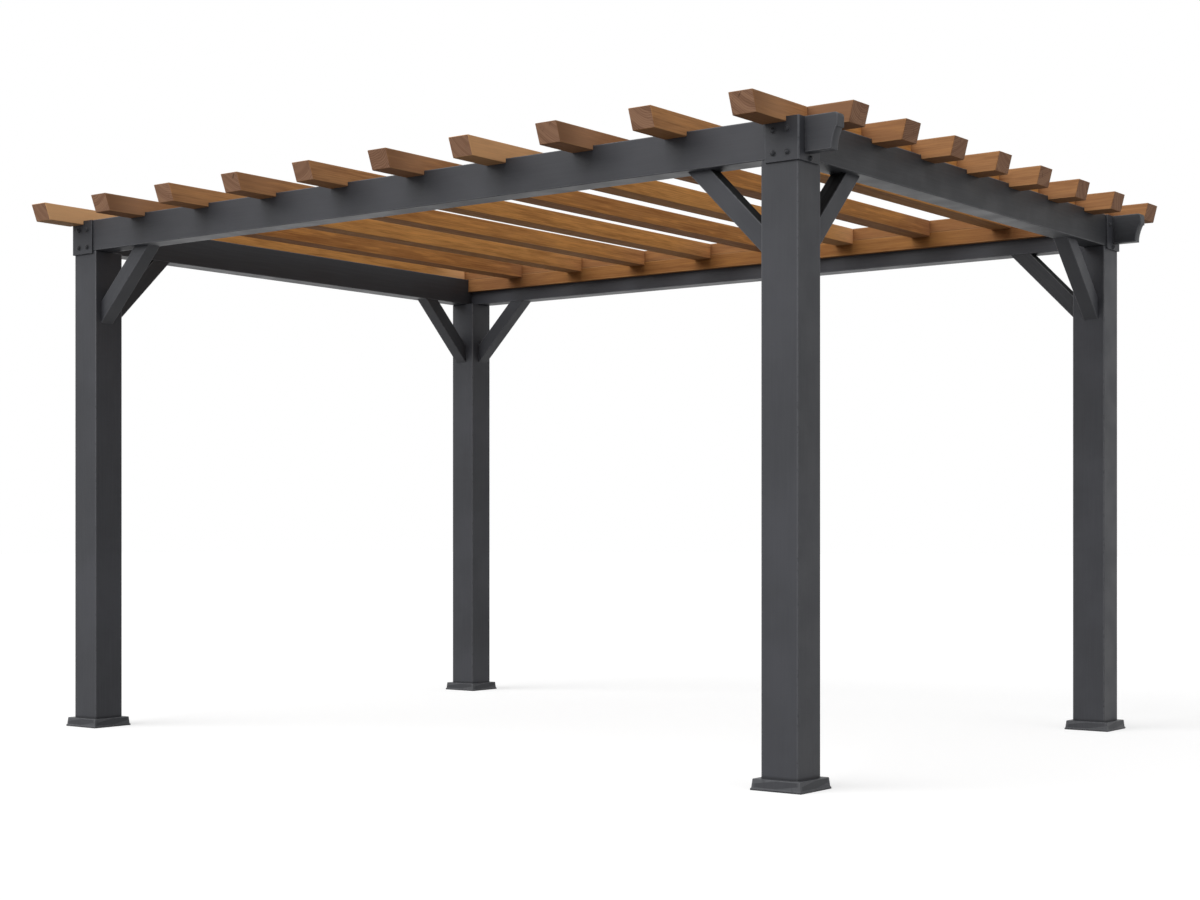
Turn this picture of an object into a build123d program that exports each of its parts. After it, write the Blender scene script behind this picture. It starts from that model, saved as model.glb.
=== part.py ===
from build123d import *
import os

# Open post-and-beam pergola. Millimetres, +Z up, ground at z = 0.
# The long side with the near post is the front (-Y); the rafter tails point to the right (+X).
# The origin lies on the ground, under the middle of the roof's outline.

# Frame, measured over the outer faces of the posts
frame_length = 3890.0
frame_depth = 2780.0
post_size = 150.0
post_edge_round = 4.0
beam_width = 100.0
beam_height = 140.0
headroom = 2183.0
fit_gap = 0.3

# Base trim round each post foot
trim_height = 40.0
trim_reach_low = 28.0
trim_reach_skirt = 25.0
trim_reach_top = 22.0
trim_foot_height = 8.0

# Corner plates
plate_thickness = 8.0
plate_arm = 130.0
plate_drop = 13.0
plate_bend_round = 5.0

# Rafters and the short rafter tails on the right
rafter_count = 10
rafter_width = 98.0
rafter_height = 75.0
seat_depth = 18.0
rafter_overhang = 222.0
end_cut_setback = 28.0
first_rafter_outset = 26.0
last_rafter_inset = 43.0
tail_count = 8
tail_width = 112.0
tail_overhang = 142.0
tail_cut_setback = 19.0
tail_plate_gap = 2.0

# Ledger on the inner face of the back beam, and the blocking between the rafters on top of it
ledger_thickness = 30.0
ledger_height = 70.0
blocking_thickness = 45.0

# Shaped ends on the front and back beams
beam_end_length = 132.0
beam_end_height = 125.0
beam_end_thickness = 45.0
nose_height = 50.0
nose_round = 14.0
nose_step = 6.0
cove_run = 19.0
cove_bulge = 4.0
heel_height = 8.0

# Knee braces
brace_leg = 330.0
brace_depth = 70.0
brace_thickness = 68.0
brace_face_inset = 30.0

# Derived positions
right_reach = plate_thickness + beam_end_length
roof_length = first_rafter_outset + frame_length + right_reach
left_face = first_rafter_outset - roof_length / 2
right_face = left_face + frame_length
front_face = -frame_depth / 2
back_face = frame_depth / 2
beam_top = headroom + beam_height
rafter_bottom = beam_top - seat_depth
rafter_top = rafter_bottom + rafter_height
first_rafter_x = left_face - first_rafter_outset
last_rafter_x = right_face - last_rafter_inset - rafter_width
rafter_pitch = (last_rafter_x - first_rafter_x) / (rafter_count - 1)
first_tail_y = front_face + plate_arm + tail_plate_gap
last_tail_y = back_face + plate_thickness
tail_pitch = (last_tail_y - first_tail_y) / (tail_count - 1)
ledger_face = back_face - beam_width - ledger_thickness
beam_end_bottom = beam_top - beam_end_height

# Outer corner of the frame at each post, with the signs that point outwards there
corners = {
    "front_left": (left_face, front_face, -1, -1),
    "front_right": (right_face, front_face, 1, -1),
    "back_left": (left_face, back_face, -1, 1),
    "back_right": (right_face, back_face, 1, 1),
}

os.makedirs("parts", exist_ok=True)


def save(piece, name):
    piece.part.label = name
    export_step(piece.part, f"parts/{name}.step")


def block(x_low, x_high, y_low, y_high, z_low, z_high, mode=Mode.ADD):
    """A box given by its limits on the three axes."""
    with Locations((x_low, y_low, z_low)):
        Box(
            x_high - x_low,
            y_high - y_low,
            z_high - z_low,
            align=(Align.MIN, Align.MIN, Align.MIN),
            mode=mode,
        )


def post_centre(corner):
    x, y, out_x, out_y = corners[corner]
    return x - out_x * post_size / 2, y - out_y * post_size / 2


def make_post(corner):
    with BuildPart() as post:
        with Locations((*post_centre(corner), 0)):
            Box(post_size, post_size, headroom, align=(Align.CENTER, Align.CENTER, Align.MIN))
        fillet(post.edges().filter_by(Axis.Z), radius=post_edge_round)
    save(post, f"post_{corner}")


def make_base_trim(corner):
    centre = post_centre(corner)
    foot_side = post_size + 2 * trim_reach_low
    skirt_side = post_size + 2 * trim_reach_skirt
    top_side = post_size + 2 * trim_reach_top
    bore_side = post_size + 2 * fit_gap
    with BuildPart() as trim:
        with BuildSketch(Plane.XY):
            with Locations(centre):
                Rectangle(foot_side, foot_side)
        extrude(amount=trim_foot_height)
        with BuildSketch(Plane.XY.offset(trim_foot_height)):
            with Locations(centre):
                Rectangle(skirt_side, skirt_side)
        with BuildSketch(Plane.XY.offset(trim_height)):
            with Locations(centre):
                Rectangle(top_side, top_side)
        loft()
        with BuildSketch(Plane.XY):
            with Locations(centre):
                Rectangle(bore_side, bore_side)
        extrude(amount=trim_height, mode=Mode.SUBTRACT)
    save(trim, f"base_trim_{corner}")


def make_corner_plate(corner):
    x, y, out_x, out_y = corners[corner]
    x_out = x + out_x * plate_thickness
    y_out = y + out_y * plate_thickness
    x_in = x - out_x * plate_arm
    y_in = y - out_y * plate_arm
    outline = [(x_out, y_out), (x_in, y_out), (x_in, y), (x, y), (x, y_in), (x_out, y_in)]
    with BuildPart() as plate:
        with BuildSketch(Plane.XY.offset(headroom - plate_drop)):
            with BuildLine():
                Polyline(*outline, close=True)
            make_face()
        extrude(amount=beam_height + plate_drop)
        bend = plate.edges().filter_by(Axis.Z).sort_by_distance((x_out, y_out, headroom))[0]
        fillet(bend, radius=plate_bend_round)
    save(plate, f"corner_plate_{corner}")


def make_beams():
    long_beams = {
        "beam_front": (front_face, front_face + beam_width),
        "beam_back": (back_face - beam_width, back_face),
    }
    for name, (y_low, y_high) in long_beams.items():
        with BuildPart() as beam:
            block(left_face, right_face, y_low, y_high, headroom, beam_top)
        save(beam, name)
    side_beams = {
        "beam_left": (left_face, left_face + beam_width),
        "beam_right": (right_face - beam_width, right_face),
    }
    for name, (x_low, x_high) in side_beams.items():
        with BuildPart() as beam:
            block(x_low, x_high, front_face + beam_width, back_face - beam_width, headroom, beam_top)
        save(beam, name)


def make_beam_end(name, y_middle):
    """Shaped beam end: square nose with a rounded top edge, a small step, then a hollow curve to the heel."""
    root = right_face + plate_thickness
    nose = root + beam_end_length
    nose_bottom = beam_top - nose_height
    cove_top = (nose - nose_step, nose_bottom)
    cove_foot = (nose - nose_step - cove_run, beam_end_bottom + heel_height)
    cove_middle = (
        (cove_top[0] + cove_foot[0]) / 2 - cove_bulge,
        (cove_top[1] + cove_foot[1]) / 2,
    )
    with BuildPart() as beam_end:
        with BuildSketch(Plane.XZ.offset(-y_middle)) as side:
            with BuildLine():
                Polyline(
                    cove_foot,
                    (cove_foot[0], beam_end_bottom),
                    (root, beam_end_bottom),
                    (root, beam_top),
                    (nose, beam_top),
                    (nose, nose_bottom),
                    cove_top,
                )
                ThreePointArc(cove_top, cove_middle, cove_foot)
            make_face()
            corner = side.vertices().sort_by(Axis.X)[-2:].sort_by(Axis.Y)[-1]
            fillet(corner, radius=nose_round)
        extrude(amount=beam_end_thickness / 2, both=True)
    save(beam_end, name)


def make_rafter(number):
    x_low = first_rafter_x + (number - 1) * rafter_pitch
    x_high = x_low + rafter_width
    tip = back_face + rafter_overhang
    heel = tip - end_cut_setback
    # The outer rafters also clear the corner plates, which stand proud of the beams
    proud = plate_thickness if number in (1, rafter_count) else 0
    seat_out = back_face + proud + fit_gap
    front_seat_in = front_face + beam_width + fit_gap
    back_seat_in = ledger_face - fit_gap
    outline = [
        (-tip, rafter_top),
        (-heel, rafter_bottom),
        (-seat_out, rafter_bottom),
        (-seat_out, beam_top),
        (front_seat_in, beam_top),
        (front_seat_in, rafter_bottom),
        (back_seat_in, rafter_bottom),
        (back_seat_in, beam_top),
        (seat_out, beam_top),
        (seat_out, rafter_bottom),
        (heel, rafter_bottom),
        (tip, rafter_top),
    ]
    with BuildPart() as rafter:
        with BuildSketch(Plane.YZ.offset(x_low)):
            with BuildLine():
                Polyline(*outline, close=True)
            make_face()
        extrude(amount=rafter_width)
        if number == 1:
            rebate_x = left_face - plate_thickness - fit_gap
            block(rebate_x, x_high, -seat_out, seat_out, rafter_bottom, beam_top, mode=Mode.SUBTRACT)
        if number == rafter_count:
            rebate_x = right_face - beam_width - fit_gap
            block(rebate_x, x_high, -seat_out, seat_out, rafter_bottom, beam_top, mode=Mode.SUBTRACT)
    save(rafter, f"rafter_{number:02d}")


def make_rafter_tail(number):
    y_low = first_tail_y + (number - 1) * tail_pitch
    root = right_face - last_rafter_inset
    seat = right_face + fit_gap
    tip = right_face + tail_overhang
    outline = [(root, rafter_top), (tip, rafter_top), (tip - tail_cut_setback, rafter_bottom)]
    if number < tail_count:
        outline += [(seat, rafter_bottom), (seat, beam_top), (root, beam_top)]
    else:
        outline += [(root, rafter_bottom)]
    with BuildPart() as tail:
        with BuildSketch(Plane.XZ.offset(-y_low)):
            with BuildLine():
                Polyline(*outline, close=True)
            make_face()
        extrude(amount=-tail_width)
    save(tail, f"rafter_tail_{number:02d}")


def make_back_ledger():
    with BuildPart() as ledger:
        block(
            left_face + beam_width + fit_gap,
            right_face - beam_width - fit_gap,
            ledger_face,
            ledger_face + ledger_thickness,
            beam_top - ledger_height,
            beam_top,
        )
    save(ledger, "back_ledger")


def make_back_blocking():
    with BuildPart() as blocking:
        for bay in range(rafter_count - 1):
            x_low = first_rafter_x + bay * rafter_pitch + rafter_width
            x_high = first_rafter_x + (bay + 1) * rafter_pitch
            block(x_low, x_high, ledger_face, ledger_face + blocking_thickness, beam_top, rafter_top)
    save(blocking, "back_blocking")


def make_brace(name, corner, along_x):
    x, y, out_x, out_y = corners[corner]
    upper_leg = brace_leg - brace_depth * 2 ** 0.5
    if along_x:
        start = x - out_x * post_size
        inward = -out_x
        layer = y - out_y * brace_face_inset
        plane = Plane.XZ.offset(-layer)
        thickness = out_y * brace_thickness
    else:
        start = y - out_y * post_size
        inward = -out_y
        layer = x - out_x * brace_face_inset
        plane = Plane.YZ.offset(layer)
        thickness = -out_x * brace_thickness
    outline = [
        (start, headroom - brace_leg),
        (start, headroom - upper_leg),
        (start + inward * upper_leg, headroom),
        (start + inward * brace_leg, headroom),
    ]
    with BuildPart() as brace:
        with BuildSketch(plane):
            with BuildLine():
                Polyline(*outline, close=True)
            make_face()
        extrude(amount=thickness)
    save(brace, name)


for corner in corners:
    make_post(corner)
    make_base_trim(corner)
    make_corner_plate(corner)
    side_y, side_x = corner.split("_")
    make_brace(f"knee_brace_{side_y}_at_{side_x}", corner, along_x=True)
    make_brace(f"knee_brace_{side_x}_at_{side_y}", corner, along_x=False)

make_beams()
make_beam_end("beam_end_front", front_face + beam_width / 2)
make_beam_end("beam_end_back", back_face - beam_width / 2)

for number in range(1, rafter_count + 1):
    make_rafter(number)

for number in range(1, tail_count + 1):
    make_rafter_tail(number)

make_back_ledger()
make_back_blocking()
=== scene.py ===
import math
from collections import namedtuple

import bmesh
import bpy
import numpy as np
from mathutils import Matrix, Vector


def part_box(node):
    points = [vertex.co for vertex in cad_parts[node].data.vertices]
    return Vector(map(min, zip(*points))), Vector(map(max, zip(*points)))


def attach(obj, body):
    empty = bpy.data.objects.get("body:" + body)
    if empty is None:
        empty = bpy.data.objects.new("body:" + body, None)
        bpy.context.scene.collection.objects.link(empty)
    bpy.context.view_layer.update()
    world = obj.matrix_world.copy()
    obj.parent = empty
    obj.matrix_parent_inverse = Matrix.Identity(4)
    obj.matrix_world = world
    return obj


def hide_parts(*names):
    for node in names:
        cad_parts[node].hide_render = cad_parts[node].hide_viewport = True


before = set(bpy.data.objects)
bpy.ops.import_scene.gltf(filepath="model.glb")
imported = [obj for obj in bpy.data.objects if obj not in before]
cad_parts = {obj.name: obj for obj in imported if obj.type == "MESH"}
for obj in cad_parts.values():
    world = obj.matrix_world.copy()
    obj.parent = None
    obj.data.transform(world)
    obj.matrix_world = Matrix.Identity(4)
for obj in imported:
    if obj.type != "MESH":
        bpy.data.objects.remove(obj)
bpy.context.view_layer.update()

MM = 0.001
X_AXIS = np.array((1.0, 0.0, 0.0))
Y_AXIS = np.array((0.0, 1.0, 0.0))
Z_AXIS = np.array((0.0, 0.0, 1.0))

# The way out from the middle at each corner of the pergola, along X and along Y
corner_signs = {
    "front_left": (-1, -1),
    "front_right": (1, -1),
    "back_left": (-1, 1),
    "back_right": (1, 1),
}

# Rounding of the edges, and how far inside an end that keeps its sharp edge the next ring lies
timber_round = 3.0 * MM
rafter_round = 2.5 * MM
post_round = 4.0 * MM
trim_round = 2.0 * MM
plate_round = 1.2 * MM
plate_bend = 5.0 * MM
beam_end_round = 3.0 * MM
plain_end = 0.5 * MM
corner_steps = 3
end_steps = 3

# Joinery: the slant of the tips, and the gap and slight lean of the seats over the beams
rafter_count = 10
tail_count = 8
rafter_setback = 28.0 * MM
tail_setback = 19.0 * MM
seat_gap = 0.3 * MM
seat_lean = 0.4 * MM
brace_depth = 70.0 * MM

# Base trim: reach outside the post and height of each turn of the profile
trim_reach_low = 28.0 * MM
trim_reach_skirt = 25.0 * MM
trim_reach_top = 22.0 * MM
trim_foot = 8.0 * MM
trim_lip_round = 2.5 * MM
trim_cove = 1.5 * MM

# Corner plates and their bolts: columns count from the corner inwards, rows from the top down, and the
# rings of a dome stand at angles in degrees
plate_thickness = 8.0 * MM
bolt_columns = (47.0 * MM, 105.0 * MM)
bolt_rows = (43.0 * MM, 122.0 * MM)
side_bolt_column = 76.0 * MM
side_bolt_row = 140.0 * MM
hidden_bolt_column = 113.0 * MM
washer_radius = 12.0 * MM
washer_height = 1.8 * MM
washer_bend = 0.6 * MM
dome_radius = 9.5 * MM
dome_height = 7.5 * MM
dome_first = 18.0
dome_last = 72.0
dome_rings = 4
bolt_sides = 24

# Shaped beam end: face_middle is the share of its height from which its two faces are filled
beam_end_top_round = 14.0 * MM
nose_height = 50.0 * MM
nose_step = 6.0 * MM
cove_run = 19.0 * MM
cove_bulge = 4.0 * MM
heel_height = 8.0 * MM
cove_steps = 8
nose_round_steps = 6
face_middle = 0.66

# Where the middle of a timber lies, seen from the pith of its tree: across and up, lowest and highest
from_pith_low = (-0.16, -0.22)
from_pith_high = (0.16, -0.06)

# Tones (golden, dark, weathered) of the timbers that stand out: the first rafter is pale and golden, the
# seventh and ninth are golden, the second, the eighth, the last and the first tail are dull, and the
# timbers along the back beam are darkened with painted shade
rafter_tones = {
    1: (2.0, 0.0, 0.1),
    2: (0.1, 0.0, 0.8),
    7: (1.6, 0.0, 0.1),
    8: (0.1, 0.0, 0.8),
    9: (0.9, 0.0, 0.2),
    rafter_count: (0.6, 0.0, 0.6),
}
first_tail_tone = (0.5, 0.0, 0.8)
shaded_tone = (0.4, 0.55, 0.0)

# Tones of the other timbers: the more golden a rafter, the less weathered, and the tails are rather dark
most_weathered = 0.75
weathered_by_golden = 0.55
tail_dark = 0.3
tail_weathered = 0.25

# Coats and painted light: the painted pieces that are lighter (towards 1) or darker (towards -1) than the
# rest, which on the posts, beams and braces is painted light and shade
coat_spread = 0.12
coats = {
    "post_front_right": 0.25,
    "beam_front": 0.2,
    "beam_left": -0.7,
    "beam_right": -1.0,
    "beam_end_back": -0.8,
    "beam_end_front": -0.3,
    "knee_brace_left_at_front": -1.0,
    "knee_brace_left_at_back": -0.8,
    "knee_brace_back_at_left": -0.3,
    "knee_brace_back_at_right": -1.0,
    "knee_brace_right_at_front": 0.3,
    "knee_brace_right_at_back": 0.6,
    **{f"base_trim_{corner}": -0.5 for corner in corner_signs},
    **{f"bolts_{corner}": -0.7 for corner in corner_signs},
}

# Growth rings of the cedar, and how many of them the rings wander along the grain
rings_per_metre = 130.0
ring_wander = 5.0

# Figure of the wood and the paint: stretch along and across the grain, scale, detail and roughness
figures = {
    "wander": (0.55, 6.0, 1.6, 2.0, 0.55),
    "streaks": (2.2, 60.0, 4.0, 4.0, 0.6),
    "fibres": (9.0, 420.0, 2.0, 2.0, 0.55),
    "patches": (0.8, 9.0, 1.0, 2.0, 0.55),
    "bands": (1.1, 15.0, 3.2, 3.0, 0.6),
    "pores": (1.0, 600.0, 1.0, 2.0, 0.55),
    "brush strokes": (3.0, 90.0, 1.5, 3.0, 0.55),
    "painted fibres": (6.0, 320.0, 1.0, 2.0, 0.55),
}

# Weather, from and to, in metres from the nearest tip: pale wood, dull wood, the dark wood next to a cut,
# and the warmer wood away from the tips, which is partly wood that the roof keeps dry and partly painted
# warm bounce light
pale_reach = (0.3, 0.7)
dull_reach = (0.1, 0.5)
soaked_reach = (0.02, 0.2)
dry_and_painted_bounce_reach = (0.3, 0.8)

# Faces that look up or down, from and to: 1 is straight up, -1 is straight down. The cedar's undersides get
# painted shade, the braces' upper slants painted shade and their lower slants painted light
cedar_up = (0.4, 0.9)
cedar_down = (-0.9, -0.4)
slant_up = (0.3, 0.6)
slant_down = (-0.6, -0.3)

# Wear and painted highlight: its reach in from the edges; and painted contact shade above the ground and
# above the base trims
cedar_edge = 4.0 * MM
paint_edge = 2.5 * MM
joint_height = 40.2 * MM
contact_shade_fade = 14.0 * MM
ground_shade_fade = 7.0 * MM

# Studio: the floor's size, how pale it is seen and how much light it gives, and the light of the surround
floor_half = 60.0
floor_glow = 0.62
floor_seen = 0.45
floor_given = 0.17
surround_light = 0.42

# Suns: strength, and then side (0 is the front, 90 the right), height and softness in degrees
suns = {
    "key": (2.45, -22.0, 38.0, 60.0),
    "fill": (0.6, 75.0, 22.0, 50.0),
}

# Camera: place in metres, heading in degrees, sensor and lens in millimetres, and the shift of the frame
# upwards as a share of its width
camera_place = (5.4036, -7.1626, 0.8951)
camera_heading = 37.10
camera_sensor = 36.0
camera_lens = 58.93
camera_rise = 0.0682

# Pith, tone and coat of each piece, drawn in the order in which the pieces are made
draws = np.random.default_rng(41)


# Surfaces

# A surface: its points, blocks of faces, a smooth flag for each face of each block, and the grain and wear
# vectors on every point
Shell = namedtuple("Shell", "points faces smooth grain wear")


def rectangle(half_width, low, high):
    """The outline of a plain timber, counterclockwise."""
    return ((-half_width, low), (half_width, low), (half_width, high), (-half_width, high))


def l_section(half_width, step, left_low, right_low, high):
    """The outline of a timber whose lower side is at left_low up to step, and at right_low beyond it."""
    lower_side = ((-half_width, left_low), (step, left_low), (step, right_low), (half_width, right_low))
    return (*lower_side, (half_width, high), (-half_width, high))


def counterclockwise(corners):
    """The outline in the order that keeps its inside on the left."""
    following = np.roll(corners, -1, axis=0)
    area = (corners[:, 0] * following[:, 1] - corners[:, 1] * following[:, 0]).sum() / 2
    return corners if area > 0 else corners[::-1]


def quarter_turn(centre, radius, start, end, steps=3):
    """Points of an arc in the plane of a profile: centre + radius * (cos t, sin t), angles in degrees."""
    t = np.radians(np.linspace(start, end, steps + 1))
    return np.stack((centre[0] + radius * np.cos(t), centre[1] + radius * np.sin(t)), axis=1)


def ways_between(corners):
    """Unit direction from each corner of an outline to the next."""
    steps = np.roll(corners, -1, axis=0) - corners
    return steps / np.linalg.norm(steps, axis=1, keepdims=True)


square_ways = ways_between(np.array(rectangle(1.0, -1.0, 1.0)))


def left_of(ways):
    """Each direction turned a quarter to the left, which points into a counterclockwise outline."""
    return np.stack((-ways[:, 1], ways[:, 0]), axis=1)


def polygon_rings(corners, ways, radii, inset):
    """Sections of a timber, one for each station: a polygon with square corners, drawn in by inset, with
    each corner turned on a quarter circle of its own radius, and a point midway on every flat. A corner
    point is centre - radius * cos(t) * way out + radius * sin(t) * way in, with t from 0 to 90 degrees.
    Returns the rings, the distance of each point from the nearest arris, and which sides lie on a turn."""
    way_in = np.roll(ways, 1, axis=0)
    moved = corners + inset[:, None, None] * (left_of(way_in) + left_of(ways))[None]
    radius = np.clip(radii[None, :] - inset[:, None], 0.0, None)
    centre = moved + radius[:, :, None] * (ways - way_in)[None]
    turn = np.linspace(0.0, math.pi / 2, corner_steps + 1)
    quarter = -np.cos(turn)[:, None, None] * ways[None] + np.sin(turn)[:, None, None] * way_in[None]
    arcs = centre[:, :, None, :] + radius[:, :, None, None] * quarter.transpose(1, 0, 2)[None]
    middle = (arcs[:, :, -1] + np.roll(arcs[:, :, 0], -1, axis=1)) / 2
    rings = np.concatenate((arcs, middle[:, :, None, :]), axis=2)
    stations, sides, points, _ = rings.shape
    arris = np.zeros((stations, sides, points))
    arris[:, :, -1] = np.linalg.norm(arcs[:, :, -1] - middle, axis=2)
    on_turn = np.zeros((sides, points), bool)
    on_turn[:, :corner_steps] = True
    return rings.reshape(stations, -1, 2), arris.reshape(stations, -1), on_turn.reshape(-1)


def joined_rings(local, smooth, closed=False):
    """Faces between the rings of neighbouring stations. The two ends are filled with a fan round a middle
    point each, or, for a profile that closes on itself, the last ring is joined to the first."""
    stations, points, _ = local.shape
    spans = stations if closed else stations - 1
    here = np.arange(spans)[:, None] * points
    beyond = (np.arange(spans)[:, None] + 1) % stations * points
    ring = np.arange(points)
    after = (ring + 1) % points
    quads = np.stack((here + ring, here + after, beyond + after, beyond + ring), axis=2).reshape(-1, 4)
    if closed:
        return [quads], [smooth.reshape(-1)]
    last_ring = (stations - 1) * points
    first_middle = np.full(points, stations * points)
    last_middle = first_middle + 1
    first_fan = np.stack((first_middle, after, ring), axis=1)
    last_fan = np.stack((last_middle, last_ring + ring, last_ring + after), axis=1)
    flat = np.zeros(points, bool)
    return [quads, first_fan, last_fan], [smooth.reshape(-1), flat, flat]


def set_in_place(flat, origin, along, up):
    """Points (a, b, c) along, across and up, set in place: origin + a * along + b * across + c * up."""
    across = np.cross(up, along)
    return origin + flat[:, :1] * along + flat[:, 1:2] * across + flat[:, 2:] * up


def carried_shell(local, arris, smooth, origin, along, up, from_pith=(0.0, 0.0), hub=None):
    """A closed surface from rings of (along, across, up). The grain vector is the same three, with
    from_pith added to the last two. The wear vector is the distance to the nearest arris, the distance to
    the nearest end, and 1 on the end grain. The ends are filled from their middles, or from hub."""
    middles = local[[0, -1]].mean(axis=1)
    if hub is not None:
        middles[:, 1:] = hub
    flat = np.concatenate((local.reshape(-1, 3), middles))
    faces, smooth_faces = joined_rings(local, smooth)
    places = local[:, :, 0]
    from_end = np.minimum(places - places.min(), places.max() - places)
    on_end = np.zeros(arris.shape)
    on_end[[0, -1]] = 1.0
    depth = np.abs(local[0, :, 1:]).max() / 2
    wear = np.stack((arris, from_end, on_end), axis=2).reshape(-1, 3)
    wear = np.concatenate((wear, [(depth, 0.0, 1.0)] * 2))
    grain = flat + np.concatenate(((0.0,), from_pith))
    return Shell(set_in_place(flat, origin, along, up), faces, smooth_faces, grain, wear)


def end_of_timber(radius, softened):
    """The rings at a cut, from the cut inwards: their distance from it and their inset. A softened end is
    drawn in on a quarter circle: distance r * (1 - sin t), inset r * (1 - cos t), t from 90 to 0 degrees."""
    if not softened:
        return np.array((0.0, plain_end)), np.zeros(2)
    turn = np.linspace(0.0, math.pi / 2, end_steps + 1)[::-1]
    return radius * (1.0 - np.sin(turn)), radius * (1.0 - np.cos(turn))


def timber_shell(stations, ways, radii, origin, along, up, end_round=timber_round, softened=(True, True)):
    """A section carried along a straight line. Each station is (place, slope, corners): its ring lies at
    place + slope * height, so that a slope leans the cut. The rings of the two ends take the place of the
    first and the last station. Where the section changes between two stations, the faces stay flat."""
    place = np.array([station[0] for station in stations], float)
    slope = np.array([station[1] for station in stations], float)
    corners = np.array([station[2] for station in stations], float)
    first_back, first_inset = end_of_timber(end_round, softened[0])
    last_back, last_inset = end_of_timber(end_round, softened[1])
    between = len(place) - 2
    repeats = (len(first_back), *[1] * between, len(last_back))
    slope = np.repeat(slope, repeats)
    corners = np.repeat(corners, repeats, axis=0)
    inset = np.concatenate((first_inset, np.zeros(between), last_inset[::-1]))
    spans = (len(first_back) - 1, between + 1, len(last_back) - 1)
    turned = np.repeat((softened[0], False, softened[1]), spans)
    place = np.concatenate((place[0] + first_back, place[1:-1], place[-1] - last_back[::-1]))
    cut = np.any(corners[1:] != corners[:-1], axis=(1, 2))
    rings, arris, on_turn = polygon_rings(corners, ways, np.array(radii), inset)
    distance = place[:, None] + slope[:, None] * rings[:, :, 1]
    local = np.concatenate((distance[:, :, None], rings), axis=2)
    smooth = (on_turn[None, :] | turned[:, None]) & ~cut[:, None]
    from_pith = draws.uniform(from_pith_low, from_pith_high)
    return carried_shell(local, arris, smooth, origin, along, up, from_pith)


# Pieces


def weathered_tone(golden):
    """The tone of a rafter: the duller its colour, the more weathered its tips."""
    return golden, 0.0, most_weathered - weathered_by_golden * golden


def painted_tone(node, slanted=0.0):
    """The tone of a painted piece: its coat with painted light and shade from the table, with a little
    chance in it, and 1 if its slanted faces get painted shade and light.
    """
    return coats.get(node, 0.0) + draws.uniform(-coat_spread, coat_spread), slanted, 0.0


def close_seams(mesh):
    """Merges the points that lie on each other."""
    work = bmesh.new()
    work.from_mesh(mesh)
    bmesh.ops.remove_doubles(work, verts=work.verts, dist=1e-6)
    work.to_mesh(mesh)
    work.free()


def make_piece(name, shells, material, node=None, tone=None):
    """One mesh from one or more shells, with the grain, wear and tone of each shell stored on its points.
    The tone of cedar is (golden, dark, weathered): golden runs from 0 to 1, and to 2 for pale, the others
    from 0 to 1; dark also carries painted shade on the timbers along the back beam. Where none is given,
    each shell draws its own. The tone of paint is (coat, slanted, 0): the coat carries painted light and
    shade, and slanted switches on painted shade and light on the slanted faces."""
    faces = []
    smooth = []
    start = 0
    for shell in shells:
        for block, flags in zip(shell.faces, shell.smooth):
            faces += (block + start).tolist()
            smooth += flags.tolist()
        start += len(shell.points)
    mesh = bpy.data.meshes.new(name)
    mesh.from_pydata(np.concatenate([shell.points for shell in shells]).tolist(), [], faces)
    mesh.polygons.foreach_set("use_smooth", smooth)
    stored = {
        "grain": [shell.grain for shell in shells],
        "wear": [shell.wear for shell in shells],
        "tone": [
            np.tile(tone or weathered_tone(draws.uniform()), (len(shell.points), 1))
            for shell in shells
        ],
    }
    for label, vectors in stored.items():
        attribute = mesh.attributes.new(label, "FLOAT_VECTOR", "POINT")
        attribute.data.foreach_set("vector", np.concatenate(vectors).ravel())
    mesh.materials.append(material)
    piece = bpy.data.objects.new(name, mesh)
    bpy.context.scene.collection.objects.link(piece)
    close_seams(mesh)
    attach(piece, "root")
    if node:
        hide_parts(node)


# Materials


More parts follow.
